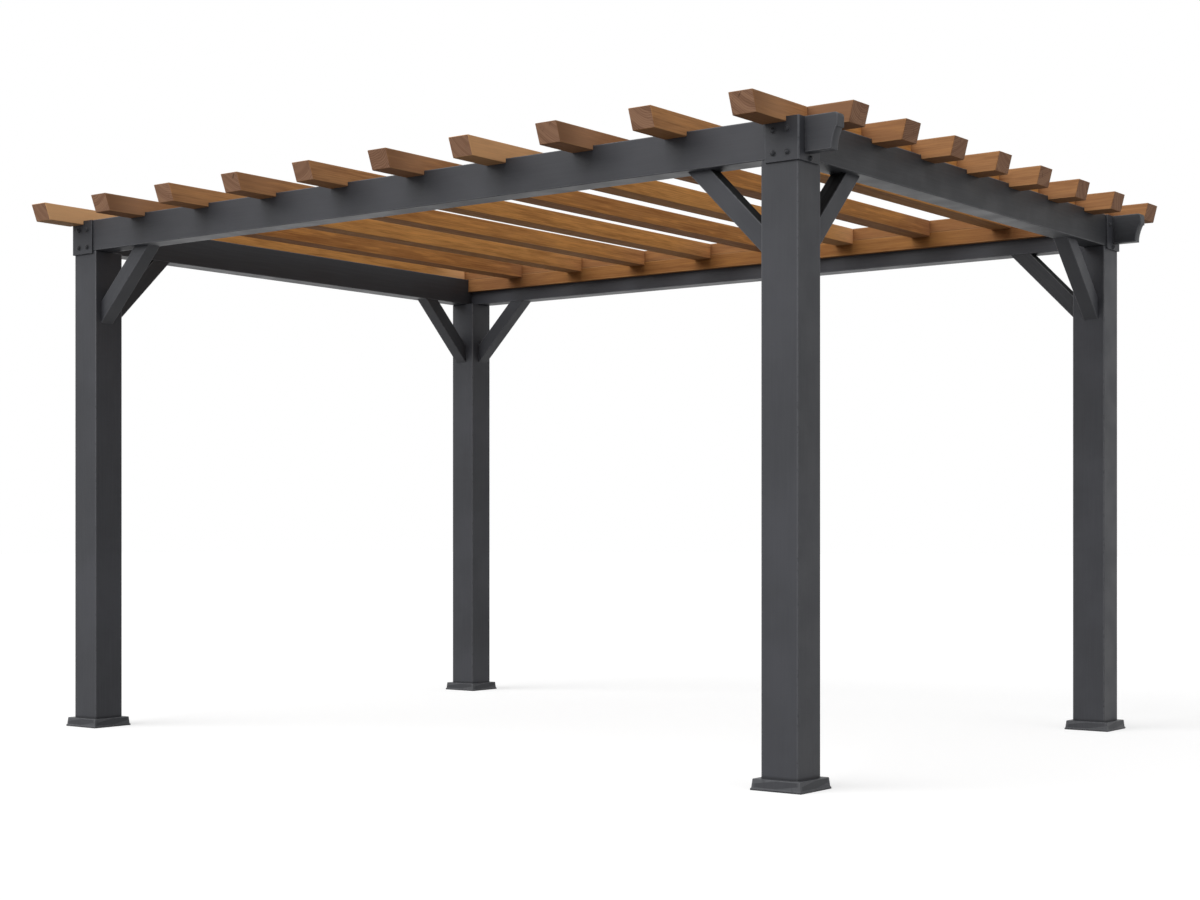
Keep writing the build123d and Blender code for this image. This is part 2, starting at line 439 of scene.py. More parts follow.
class Recipe:
    """The nodes of a material, or of the studio's surround, made and joined by name."""

    def __init__(self, owner, output_kind="ShaderNodeOutputMaterial"):
        owner.use_nodes = True
        self.owner = owner
        self.tree = owner.node_tree
        self.tree.nodes.clear()
        self.surface = self.node(output_kind).inputs[0]

    def node(self, kind, **settings):
        """A new node with its settings."""
        made = self.tree.nodes.new(kind)
        for key, value in settings.items():
            setattr(made, key, value)
        return made

    def put(self, socket, value):
        """Joins the output of another node to a socket, or writes a number or a colour there."""
        if hasattr(value, "is_linked"):
            self.tree.links.new(value, socket)
        else:
            socket.default_value = value

    def fill(self, node, *values):
        """Puts the values into the first sockets of a node."""
        for socket, value in zip(node.inputs, values):
            self.put(socket, value)
        return node.outputs

    def attribute(self, name):
        """A vector stored on the points of the piece."""
        return self.node("ShaderNodeAttribute", attribute_name=name).outputs["Vector"]

    def facing(self):
        """How far a face looks up: 1 straight up, 0 to the side, -1 straight down."""
        return self.split(self.node("ShaderNodeNewGeometry").outputs["Normal"])[2]

    def split(self, vector):
        """The three parts of a vector."""
        return self.fill(self.node("ShaderNodeSeparateXYZ"), vector)

    def combine(self, *parts):
        """A vector from its parts."""
        return self.fill(self.node("ShaderNodeCombineXYZ"), *parts)[0]

    def maths(self, operation, *values):
        """One step of arithmetic on numbers."""
        return self.fill(self.node("ShaderNodeMath", operation=operation), *values)[0]

    def stretch(self, vector, factors):
        """A vector with each part multiplied by its factor."""
        return self.fill(self.node("ShaderNodeVectorMath", operation="MULTIPLY"), vector, factors)["Vector"]

    def length(self, vector):
        """The length of a vector."""
        return self.fill(self.node("ShaderNodeVectorMath", operation="LENGTH"), vector)["Value"]

    def noise(self, vector, scale, detail=3.0, roughness=0.55):
        """Cloudy noise from 0 to 1."""
        node = self.node("ShaderNodeTexNoise")
        self.put(node.inputs["Vector"], vector)
        node.inputs["Scale"].default_value = scale
        node.inputs["Detail"].default_value = detail
        node.inputs["Roughness"].default_value = roughness
        return node.outputs[0]

    def figure(self, grain, name):
        """Noise drawn out along the grain, which is the first part of the grain vector."""
        lengthwise, crosswise, scale, detail, roughness = figures[name]
        return self.noise(self.stretch(grain, (lengthwise, crosswise, crosswise)), scale, detail, roughness)

    def span(self, value, low, high, to_low=0.0, to_high=1.0):
        """A smooth step: to_low where the value is under low, to_high where it is over high."""
        node = self.node("ShaderNodeMapRange", interpolation_type="SMOOTHSTEP")
        self.put(node.inputs["Value"], value)
        node.inputs["From Min"].default_value = low
        node.inputs["From Max"].default_value = high
        node.inputs["To Min"].default_value = to_low
        node.inputs["To Max"].default_value = to_high
        return node.outputs["Result"]

    def mix(self, amount, first, second, blend="MIX"):
        """Two colours mixed. A Mix node has its colours in sockets 6 and 7, and the result in output 2."""
        node = self.node("ShaderNodeMix", data_type="RGBA", blend_type=blend)
        self.put(node.inputs[0], amount)
        self.put(node.inputs[6], first)
        self.put(node.inputs[7], second)
        return node.outputs[2]

    def ramp(self, value, stops):
        """Colours along a number from 0 to 1. The first stop is at 0 and the last one at 1."""
        node = self.node("ShaderNodeValToRGB")
        self.put(node.inputs[0], value)
        elements = node.color_ramp.elements
        for place, _ in stops[1:-1]:
            elements.new(place)
        for element, (_, shade) in zip(elements, stops):
            element.color = shade
        return node.outputs[0]

    def bump(self, height, strength, distance, below=None):
        """Relief from a height, on top of the relief below it."""
        node = self.node("ShaderNodeBump")
        node.inputs["Strength"].default_value = strength
        node.inputs["Distance"].default_value = distance
        self.put(node.inputs["Height"], height)
        if below is not None:
            self.put(node.inputs["Normal"], below)
        return node.outputs[0]

    def finish(self, shade, roughness, normal, gloss):
        """The surface of the piece, with the same gloss all over it."""
        shader = self.node("ShaderNodeBsdfPrincipled")
        self.put(shader.inputs["Base Color"], shade)
        self.put(shader.inputs["Roughness"], roughness)
        self.put(shader.inputs["Normal"], normal)
        shader.inputs["Specular IOR Level"].default_value = gloss
        self.put(self.surface, shader.outputs[0])
        return self.owner


def colour(red, green, blue):
    """A colour written as it looks on a screen, 0 to 255, as the linear values a shader takes."""
    shown = np.array((red, green, blue)) / 255.0
    linear = np.where(shown <= 0.04045, shown / 12.92, ((shown + 0.055) / 1.055) ** 2.4)
    return (*linear.tolist(), 1.0)


# Colours of the cedar: the growth rings along the sides and on the sawn ends, from ring to ring, and what
# lies over them
side_ring_colours = [
    (0.0, colour(198, 140, 88)),
    (0.45, colour(186, 127, 77)),
    (0.86, colour(156, 99, 56)),
    (1.0, colour(190, 132, 82)),
]
end_ring_colours = [
    (0.0, colour(164, 126, 100)),
    (0.6, colour(152, 114, 90)),
    (0.9, colour(124, 90, 70)),
    (1.0, colour(158, 120, 96)),
]
wood = {
    "dull": colour(158, 108, 70),
    "golden": colour(224, 164, 104),
    "streak": colour(138, 86, 50),
    "fibre": colour(98, 58, 34),
    "light patch": colour(216, 162, 108),
    "dark band": colour(122, 74, 42),
    "light band": colour(226, 162, 98),
    "pale tip": colour(255, 201, 147),
    "dull tip": colour(174, 132, 101),
    "next to a cut": colour(98, 64, 39),
    "upper face": colour(160, 122, 90),
    # Painted shade on the undersides
    "painted_underside_shade": colour(92, 56, 28),
    # Painted shade on the timbers along the back beam, and darker wood on the tails
    "shaded": colour(100, 64, 34),
    "worn edge": colour(206, 160, 114),
    "pore": colour(104, 74, 58),
    "dark ring group": colour(118, 84, 62),
    "light ring group": colour(178, 138, 108),
    "crack": colour(62, 42, 32),
}
# A warmer colour away from the tips: partly wood that the roof keeps dry, partly painted warm bounce light
dry_and_painted_bounce_warmth = (1.09, 1.06, 0.82, 1.0)

# Colours of the charcoal paint
paint = {
    "darker mottle": colour(56, 57, 61),
    "lighter mottle": colour(65, 66, 71),
    # Lighter and darker pieces: their own coat, with painted light and shade on the posts, beams and braces
    "darkest coat": colour(49, 50, 53),
    "lightest coat": colour(76, 77, 81),
    # Painted shade on the braces' upper slants, painted light on their lower slants
    "upper slant": colour(12, 12, 13),
    "lower slant": colour(78, 79, 83),
    # Painted contact shade along the ground and above the base trims
    "painted_contact_shade": colour(24, 24, 25),
    "timber stroke": colour(74, 75, 78),
    # Edge colours: partly worn thin paint, partly a painted highlight
    "timber edge": colour(104, 105, 108),
    "steel stroke": colour(66, 68, 71),
    "steel edge": colour(112, 114, 118),
}


def planed_sides(recipe, ring, golden, grain, streaks, fibres):
    """Planed cedar: growth rings in the tone of the timber, with streaks, fibres, light patches and light
    and dark bands along the grain."""
    patches = recipe.figure(grain, "patches")
    bands = recipe.figure(grain, "bands")
    toned = recipe.mix(recipe.span(golden, 0.0, 1.0), wood["dull"], wood["golden"])
    base = recipe.mix(0.6, recipe.ramp(ring, side_ring_colours), toned)
    base = recipe.mix(recipe.span(streaks, 0.35, 0.75, 0.0, 0.5), base, wood["streak"])
    base = recipe.mix(recipe.span(fibres, 0.3, 0.7, 0.0, 0.16), base, wood["fibre"])
    base = recipe.mix(recipe.span(patches, 0.35, 0.7, 0.0, 0.22), base, wood["light patch"])
    base = recipe.mix(recipe.span(bands, 0.5, 0.68, 0.0, 0.42), base, wood["dark band"])
    return recipe.mix(recipe.span(bands, 0.34, 0.48, 0.4, 0.0), base, wood["light band"])


def weathering_and_painted_light(recipe, base, golden, dark, weathered, edge, from_end, streaks):
    """What sun and rain do to the cedar, together with painted light and shade: pale or dull tips, dark wood
    next to the cuts, a warmer colour away from the tips that is partly wood the roof keeps dry and partly
    painted warm bounce light, dull upper faces, painted shade on the undersides, darker tails, painted
    shade on the timbers along the back beam, and slightly bleached edges."""
    near_tip = recipe.span(from_end, *pale_reach, 1.0, 0.0)
    pale = recipe.maths("MULTIPLY", near_tip, recipe.span(golden, 1.0, 2.0, 0.0, 0.75))
    base = recipe.mix(pale, base, wood["pale tip"])
    dull = recipe.maths("MULTIPLY", recipe.span(from_end, *dull_reach, 1.0, 0.0), weathered)
    base = recipe.mix(dull, base, wood["dull tip"])
    soaked = recipe.maths("MULTIPLY", recipe.span(from_end, *soaked_reach, 0.7, 0.0), weathered)
    base = recipe.mix(soaked, base, wood["next to a cut"])
    # A warmer colour away from the tips: partly dry wood, partly painted warm bounce light
    base = recipe.mix(recipe.span(from_end, *dry_and_painted_bounce_reach), base, dry_and_painted_bounce_warmth, blend="MULTIPLY")
    facing = recipe.facing()
    base = recipe.mix(recipe.span(facing, *cedar_up, 0.0, 0.5), base, wood["upper face"])
    # Painted shade on the undersides
    base = recipe.mix(recipe.span(facing, *cedar_down, 0.55, 0.0), base, wood["painted_underside_shade"])
    # Painted shade on the timbers along the back beam; a little darker wood on the tails
    base = recipe.mix(dark, base, wood["shaded"])
    near_edge = recipe.span(edge, 0.0, cedar_edge, 1.0, 0.0)
    worn = recipe.maths("MULTIPLY", near_edge, recipe.span(streaks, 0.3, 0.6))
    return recipe.mix(recipe.maths("MULTIPLY", worn, 0.25), base, wood["worn edge"])


def sawn_ends(recipe, ring, radius, golden, grain):
    """Sawn cedar ends: growth rings in light and dark groups, fine pores, and drying cracks that run out
    from the pith. The tone of the timber moves the groups and cracks, so that the ends differ."""
    pores = recipe.span(recipe.figure(grain, "pores"), 0.3, 0.7, 0.0, 0.25)
    base = recipe.mix(pores, recipe.ramp(ring, end_ring_colours), wood["pore"])
    own_place = recipe.maths("MULTIPLY", golden, 7.0)
    outwards = recipe.combine(recipe.maths("MULTIPLY", radius, 60.0), own_place)
    groups = recipe.noise(outwards, 1.0, detail=2.0)
    base = recipe.mix(recipe.span(groups, 0.5, 0.64, 0.0, 0.36), base, wood["dark ring group"])
    base = recipe.mix(recipe.span(groups, 0.36, 0.5, 0.36, 0.0), base, wood["light ring group"])
    about_pith = recipe.split(grain)
    angle = recipe.maths("MULTIPLY", recipe.maths("ARCTAN2", about_pith[2], about_pith[1]), 16.0)
    fan = recipe.combine(angle, recipe.maths("MULTIPLY", radius, 9.0), own_place)
    cracks = recipe.noise(fan, 2.2, detail=2.0)
    return recipe.mix(recipe.span(cracks, 0.66, 0.72, 0.0, 0.65), base, wood["crack"])


def cedar_finish():
    """Oiled cedar. The place within a growth ring is the fraction of radius * rings per metre + wander,
    with the radius from the pith and a slow wander along the grain."""
    recipe = Recipe(bpy.data.materials.new("cedar"))
    grain = recipe.attribute("grain")
    edge, from_end, on_end = recipe.split(recipe.attribute("wear"))
    golden, dark, weathered = recipe.split(recipe.attribute("tone"))
    wander = recipe.maths("MULTIPLY", recipe.figure(grain, "wander"), ring_wander)
    radius = recipe.length(recipe.stretch(grain, (0.0, 1.0, 1.0)))
    ring = recipe.maths("FRACT", recipe.maths("MULTIPLY_ADD", radius, rings_per_metre, wander))
    streaks = recipe.figure(grain, "streaks")
    fibres = recipe.figure(grain, "fibres")
    sides = planed_sides(recipe, ring, golden, grain, streaks, fibres)
    sides = weathering_and_painted_light(recipe, sides, golden, dark, weathered, edge, from_end, streaks)
    shade = recipe.mix(on_end, sides, sawn_ends(recipe, ring, radius, golden, grain))
    roughness = recipe.span(streaks, 0.25, 0.75, 0.66, 0.82)
    ring_relief = recipe.maths("MULTIPLY", ring, 0.35)
    relief = recipe.maths("ADD", ring_relief, recipe.maths("MULTIPLY", fibres, 0.65))
    return recipe.finish(shade, roughness, recipe.bump(relief, 0.35, 0.6 * MM), gloss=0.15)


def charcoal_finish(name, kind):
    """Satin charcoal paint: faint brush strokes along the piece, soft mottling, lighter and darker pieces
    that carry painted light and shade, thin lighter paint on the edges that is partly wear and partly a
    painted highlight, painted shade (nearly black) on the upper and painted light on the lower sides of the
    slanted braces, and painted contact shade along the ground and where the posts meet their trims."""
    recipe = Recipe(bpy.data.materials.new(name))
    grain = recipe.attribute("grain")
    edge = recipe.split(recipe.attribute("wear"))[0]
    coat, slanted, _ = recipe.split(recipe.attribute("tone"))
    place = recipe.node("ShaderNodeTexCoord").outputs["Object"]
    height = recipe.split(place)[2]
    mottle = recipe.noise(place, 2.4, detail=4.0)
    strokes = recipe.figure(grain, "brush strokes")
    base = recipe.mix(recipe.span(mottle, 0.3, 0.7), paint["darker mottle"], paint["lighter mottle"])
    # Lighter and darker pieces: the coat's own spread, with painted light and shade on the posts, beams and
    # braces
    base = recipe.mix(recipe.span(coat, -1.0, 0.0, 1.0, 0.0), base, paint["darkest coat"])
    base = recipe.mix(recipe.span(coat, 0.0, 1.0), base, paint["lightest coat"])
    facing = recipe.facing()
    # Painted shade, nearly black, on the upper slanted faces of the braces, and painted light on the lower
    # ones
    painted_upper_slant_shade = recipe.maths("MULTIPLY", slanted, recipe.span(facing, *slant_up))
    below = recipe.maths("MULTIPLY", slanted, recipe.span(facing, *slant_down, 0.7, 0.0))
    base = recipe.mix(painted_upper_slant_shade, base, paint["upper slant"])
    base = recipe.mix(below, base, paint["lower slant"])
    base = recipe.mix(recipe.span(strokes, 0.35, 0.7, 0.0, 0.16), base, paint[f"{kind} stroke"])
    # Lighter chipped edges: partly worn thin paint, partly a painted highlight along the arrises
    chipped = recipe.span(recipe.noise(place, 60.0), 0.2, 0.5)
    worn = recipe.maths("MULTIPLY", recipe.span(edge, 0.0, paint_edge, 1.0, 0.0), chipped)
    base = recipe.mix(recipe.maths("MULTIPLY", worn, 0.4), base, paint[f"{kind} edge"])
    # Painted contact shade just above the base trims and along the ground
    near_trim = recipe.span(height, joint_height, joint_height + contact_shade_fade, 0.6, 0.0)
    painted_contact_shade = recipe.maths("MULTIPLY", recipe.maths("GREATER_THAN", height, joint_height), near_trim)
    foot = recipe.span(height, 0.0, ground_shade_fade, 0.6, 0.0)
    base = recipe.mix(recipe.maths("MAXIMUM", painted_contact_shade, foot), base, paint["painted_contact_shade"])
    satin = recipe.span(recipe.noise(place, 7.0), 0.3, 0.7, 0.42, 0.52)
    normal = recipe.bump(recipe.figure(grain, "painted fibres"), 0.18, 0.4 * MM)
    normal = recipe.bump(recipe.noise(place, 420.0, detail=1.0), 0.08, 0.3 * MM, below=normal)
    return recipe.finish(base, recipe.maths("MAXIMUM", satin, painted_upper_slant_shade), normal, gloss=0.22)


cedar = cedar_finish()
charcoal = charcoal_finish("charcoal_timber", "timber")
bracket = charcoal_finish("bracket_steel", "steel")


# Timbers


def box_of(node):
    """The lowest and highest corner of a node."""
    low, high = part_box(node)
    return np.array(low), np.array(high)


front_beam_low, front_beam_high = box_of("beam_front")
right_beam_low, right_beam_high = box_of("beam_right")
back_beam_high = box_of("beam_back")[1]
left_plate_low = box_of("corner_plate_front_left")[0]
ledger_low = box_of("back_ledger")[0]
beam_top = front_beam_high[2]


def make_straight_timber(node, axis, radius, material, tone=None):
    """A plain square timber that fills the box of its node, with its grain along the given axis."""
    low, high = box_of(node)
    along = (X_AXIS, Y_AXIS, Z_AXIS)[axis]
    up = Y_AXIS if axis == 2 else Z_AXIS
    across = np.cross(up, along)
    size = high - low
    half_height = abs(size @ up) / 2
    half_length = size[axis] / 2
    corners = rectangle(abs(size @ across) / 2, -half_height, half_height)
    stations = [(-half_length, 0.0, corners), (0.0, 0.0, corners), (half_length, 0.0, corners)]
    shell = timber_shell(stations, square_ways, [radius] * 4, (low + high) / 2, along, up, radius)
    make_piece(f"{node}_timber", [shell], material, node, tone or painted_tone(node))


def make_rafter(number):
    """A long rafter: a section carried from the front tip to the back tip, with its lower side raised over
    the front beam and over the back beam and ledger. The first and the last one also straddle a side beam,
    so between the seats they are L-shaped. A section is seen along the rafter, with its left towards +X."""
    node = f"rafter_{number:02d}"
    low, high = box_of(node)
    middle = (low + high) / 2
    half_width, half_length, half_height = (high - low) / 2
    seat = beam_top - middle[2]
    front_out = front_beam_low[1] - seat_gap
    front_in = front_beam_high[1] + seat_gap
    back_in = ledger_low[1] - seat_gap
    back_out = back_beam_high[1] + seat_gap
    if number in (1, rafter_count):
        front_out -= plate_thickness
        back_out += plate_thickness
        side = left_plate_low if number == 1 else right_beam_low
        step = middle[0] - (side[0] - seat_gap)
        full = l_section(half_width, step, -half_height, -half_height, half_height)
        seated = l_section(half_width, step, seat, seat, half_height)
        between = l_section(half_width, step, seat, -half_height, half_height)
        ways = ways_between(np.array(between))
        radii = [rafter_round, 0.0, 0.0, rafter_round, rafter_round, rafter_round]
    else:
        full = rectangle(half_width, -half_height, half_height)
        seated = rectangle(half_width, seat, half_height)
        between = full
        ways = square_ways
        radii = [rafter_round] * 4
    slope = rafter_setback / (2 * half_height)
    tip = half_length - rafter_setback / 2
    stations = [
        (-tip, -slope, full),
        (front_out - seat_lean - middle[1], 0.0, full),
        (front_out - middle[1], 0.0, seated),
        (front_in - middle[1], 0.0, seated),
        (front_in + seat_lean - middle[1], 0.0, between),
        (0.0, 0.0, between),
        (back_in - seat_lean - middle[1], 0.0, between),
        (back_in - middle[1], 0.0, seated),
        (back_out - middle[1], 0.0, seated),
        (back_out + seat_lean - middle[1], 0.0, full),
        (tip, slope, full),
    ]
    shell = timber_shell(stations, ways, radii, middle, Y_AXIS, Z_AXIS, rafter_round)
    make_piece(f"{node}_timber", [shell], cedar, node, rafter_tones.get(number))


def make_rafter_tail(number):
    """A short tail over the right beam, with its lower side raised on the beam. The last one stands outside
    the back beam and keeps its full section."""
    node = f"rafter_tail_{number:02d}"
    low, high = box_of(node)
    middle = (low + high) / 2
    half_length, half_width, half_height = (high - low) / 2
    seat_end = right_beam_high[0] + seat_gap - middle[0]
    full = rectangle(half_width, -half_height, half_height)
    seated = rectangle(half_width, beam_top - middle[2], half_height)
    if number < tail_count:
        root = [(-half_length, 0.0, seated), (seat_end, 0.0, seated), (seat_end + seat_lean, 0.0, full)]
    else:
        root = [(-half_length, 0.0, full), (0.0, 0.0, full)]
    stations = [*root, (half_length - tail_setback / 2, tail_setback / (2 * half_height), full)]
    radii = [rafter_round] * 4
    shell = timber_shell(stations, square_ways, radii, middle, X_AXIS, Z_AXIS, rafter_round, (False, True))
    tone = first_tail_tone if number == 1 else (draws.uniform(), tail_dark, tail_weathered)
    make_piece(f"{node}_timber", [shell], cedar, node, tone)


def make_blocking():
    """The filling timbers over the back beam, one between each two neighbouring rafters."""
    low, high = box_of("back_blocking")
    middle = (low + high) / 2
    half_size = (high - low) / 2
    corners = rectangle(half_size[1], -half_size[2], half_size[2])
    radii = [rafter_round] * 4
    shells = []
    for number in range(1, rafter_count):
        bay_low = box_of(f"rafter_{number:02d}")[1][0]
        bay_high = box_of(f"rafter_{number + 1:02d}")[0][0]
        half_length = (bay_high - bay_low) / 2
        place = np.array(((bay_low + bay_high) / 2, middle[1], middle[2]))
        stations = [(-half_length, 0.0, corners), (half_length, 0.0, corners)]
        shell = timber_shell(stations, square_ways, radii, place, X_AXIS, Z_AXIS, softened=(False, False))
        shells.append(shell)
    make_piece("back_blocking_timbers", shells, cedar, "back_blocking", shaded_tone)


def make_brace(node, axis, inward):
    """A knee brace under a beam that runs along the given axis: a rectangle carried at 45 degrees, cut
    upright against the post and level under the beam, so the cuts slope by one at both ends."""
    low, high = box_of(node)
    leg = high[2] - low[2]
    level = (X_AXIS, Y_AXIS)[axis] * inward
    along = (level + Z_AXIS) / math.sqrt(2.0)
    up = (Z_AXIS - level) / math.sqrt(2.0)
    half_leg = (leg - brace_depth / math.sqrt(2.0)) / 2
    half_length = half_leg * math.sqrt(2.0)
    middle = (low + high) / 2
    middle[axis] = (low if inward > 0 else high)[axis] + inward * half_leg
    middle[2] = high[2] - half_leg
    thickness = (high - low)[1 - axis]
    corners = rectangle(thickness / 2, -brace_depth / 2, brace_depth / 2)
    stations = [(-half_length, 1.0, corners), (0.0, 0.0, corners), (half_length, -1.0, corners)]
    radii = [timber_round] * 4
    shell = timber_shell(stations, square_ways, radii, middle, along, up, softened=(False, False))
    # The slanted faces of a brace get painted shade above and painted light below
    tone = painted_tone(node, slanted=1.0)
    make_piece(f"{node}_timber", [shell], charcoal, node, tone)


# Base trims, corner plates, bolts and beam ends


def make_base_trim(corner):
    """The trim's profile carried round the post. The profile climbs the outside from the ground over the
    foot, a small hollow, the flared skirt and the top edge, and comes back down against the post. Each
    profile point gives one square ring whose half side is half the post plus the reach."""
    node = f"base_trim_{corner}"
    low, high = box_of(node)
    post_low, post_high = box_of(f"post_{corner}")
    top = high[2]
    skirt_foot = np.array((trim_reach_skirt, trim_foot + trim_cove))
    skirt_top = np.array((trim_reach_top, top - trim_round))
    lip_centre = (trim_reach_low - trim_lip_round, trim_foot - trim_lip_round)
    cove_centre = (trim_reach_skirt + trim_cove, trim_foot + trim_cove)
    profile = np.concatenate((
        [(trim_reach_low, 0.0)],
        quarter_turn(lip_centre, trim_lip_round, 0.0, 90.0),
        quarter_turn(cove_centre, trim_cove, 270.0, 180.0, steps=2),
        [(skirt_foot + skirt_top) / 2],
        quarter_turn((trim_reach_top - trim_round, top - trim_round), trim_round, 0.0, 90.0),
        [(trim_reach_top / 2, top), (seat_gap, top), (seat_gap, 0.0)],
    ))
    reach = (post_high[0] - post_low[0]) / 2 + profile[:, 0]
    corners = reach[:, None, None] * np.array(rectangle(1.0, -1.0, 1.0))[None]
    radii = np.full(4, trim_round)
    rings, arris, on_turn = polygon_rings(corners, square_ways, radii, np.zeros(len(reach)))
    edges = np.array(((trim_reach_low, trim_foot), (trim_reach_top, top)))
    nearest = np.linalg.norm(profile[:, None, :] - edges[None], axis=2).min(axis=1)
    arris = np.minimum(arris, np.maximum(nearest - trim_round, 0.0)[:, None])
    turned = np.linalg.norm(np.roll(profile, -1, axis=0) - profile, axis=1) < trim_round
    heights = np.repeat(profile[:, 1:], rings.shape[1], axis=1)
    local = np.concatenate((heights[:, :, None], rings), axis=2)
    faces, smooth_faces = joined_rings(local, on_turn[None, :] | turned[:, None], closed=True)
    origin = np.array((*((low + high) / 2)[:2], low[2]))
    points = set_in_place(local.reshape(-1, 3), origin, Z_AXIS, Y_AXIS)
    wear = np.stack((arris, heights, np.zeros(arris.shape)), axis=2).reshape(-1, 3)
    shell = Shell(points, faces, smooth_faces, points[:, [2, 0, 1]], wear)
    make_piece(f"{node}_moulding", [shell], charcoal, node, painted_tone(node))


def make_corner_plate(corner, out_x, out_y):
    """A bent steel plate: an L profile carried upright, with its outer bend and its ends softened. The ends
    are filled from the middle of the bend, which every point of the L can see."""
    node = f"corner_plate_{corner}"
    low, high = box_of(node)
    middle = (low + high) / 2
    half_x, half_y, half_z = (high - low) / 2
    x_out, x_in, x_beam = out_x * half_x, -out_x * half_x, out_x * (half_x - plate_thickness)
    y_out, y_in, y_beam = out_y * half_y, -out_y * half_y, out_y * (half_y - plate_thickness)
    outline = counterclockwise(np.array((
        (x_out, y_out), (x_in, y_out), (x_in, y_beam), (x_beam, y_beam), (x_beam, y_in), (x_out, y_in)
    )))
    radii = np.full(len(outline), plate_round)
    radii[np.all(outline == (x_out, y_out), axis=1)] = plate_bend
    radii[np.all(outline == (x_beam, y_beam), axis=1)] = 0.0
    stations = [(-half_z, 0.0, outline), (half_z, 0.0, outline)]
    shell = timber_shell(stations, ways_between(outline), radii, middle, Z_AXIS, Y_AXIS, plate_round)
    shell.points[-2:, :2] = middle[:2] + np.array((x_beam + x_out, y_beam + y_out)) / 2
    make_piece(f"{node}_steel", [shell], bracket, node, painted_tone(node))


def bolt_shell(place, outward):
    """A domed bolt head on a washer: the profile of (radius, height) points swept through a full turn. Dome
    points are (radius * cos t, foot + height * sin t), and a last one at the top closes it."""
    dome_foot = washer_height + washer_bend
    climb = np.radians(np.linspace(dome_first, dome_last, dome_rings))
    bend_centre = (washer_radius - washer_bend, washer_height - washer_bend)
    profile = np.concatenate((
        [(washer_radius, 0.0)],
        quarter_turn(bend_centre, washer_bend, 0.0, 90.0, steps=2),
        [(dome_radius, washer_height), (dome_radius, dome_foot)],
        np.stack((dome_radius * np.cos(climb), dome_foot + dome_height * np.sin(climb)), axis=1),
    ))
    washer_edge = slice(1, 4)
    washer_top_to_dome = slice(3, 5)
    angle = np.linspace(0.0, 2 * math.pi, bolt_sides, endpoint=False)
    radius = profile[:, :1]
    heights = np.repeat(profile[:, 1:], bolt_sides, axis=1)
    local = np.stack((heights, radius * np.cos(angle), radius * np.sin(angle)), axis=2)
    smooth = np.ones((len(profile) - 1, bolt_sides), bool)
    smooth[washer_top_to_dome] = False
    arris = np.full(local.shape[:2], dome_radius)
    arris[washer_edge] = 0.0
    shell = carried_shell(local, arris, smooth, place, outward, Z_AXIS)
    shell.points[-1] += (dome_foot + dome_height - profile[-1, 1]) * outward
    shell.smooth[-1] = np.ones(bolt_sides, bool)
    return shell


def make_bolts(corner, out_x, out_y):
    """Bolts through both arms of a corner plate. Where a beam end stands on the arm, one bolt sits under it
    and the other one behind it."""
    low, high = box_of(f"corner_plate_{corner}")
    corner_x = high[0] if out_x > 0 else low[0]
    corner_y = high[1] if out_y > 0 else low[1]
    all_places = [(column, row) for column in bolt_columns for row in bolt_rows]
    side_places = all_places
    if out_x > 0:
        side_places = [(side_bolt_column, side_bolt_row), (hidden_bolt_column, bolt_rows[0])]
    shells = []
    for column, row in all_places:
        place = np.array((corner_x - out_x * column, corner_y, high[2] - row))
        shells.append(bolt_shell(place, out_y * Y_AXIS))
    for column, row in side_places:
        place = np.array((corner_x, corner_y - out_y * column, high[2] - row))
        shells.append(bolt_shell(place, out_x * X_AXIS))
    name = f"bolts_{corner}"
    make_piece(name, shells, bracket, tone=painted_tone(name))


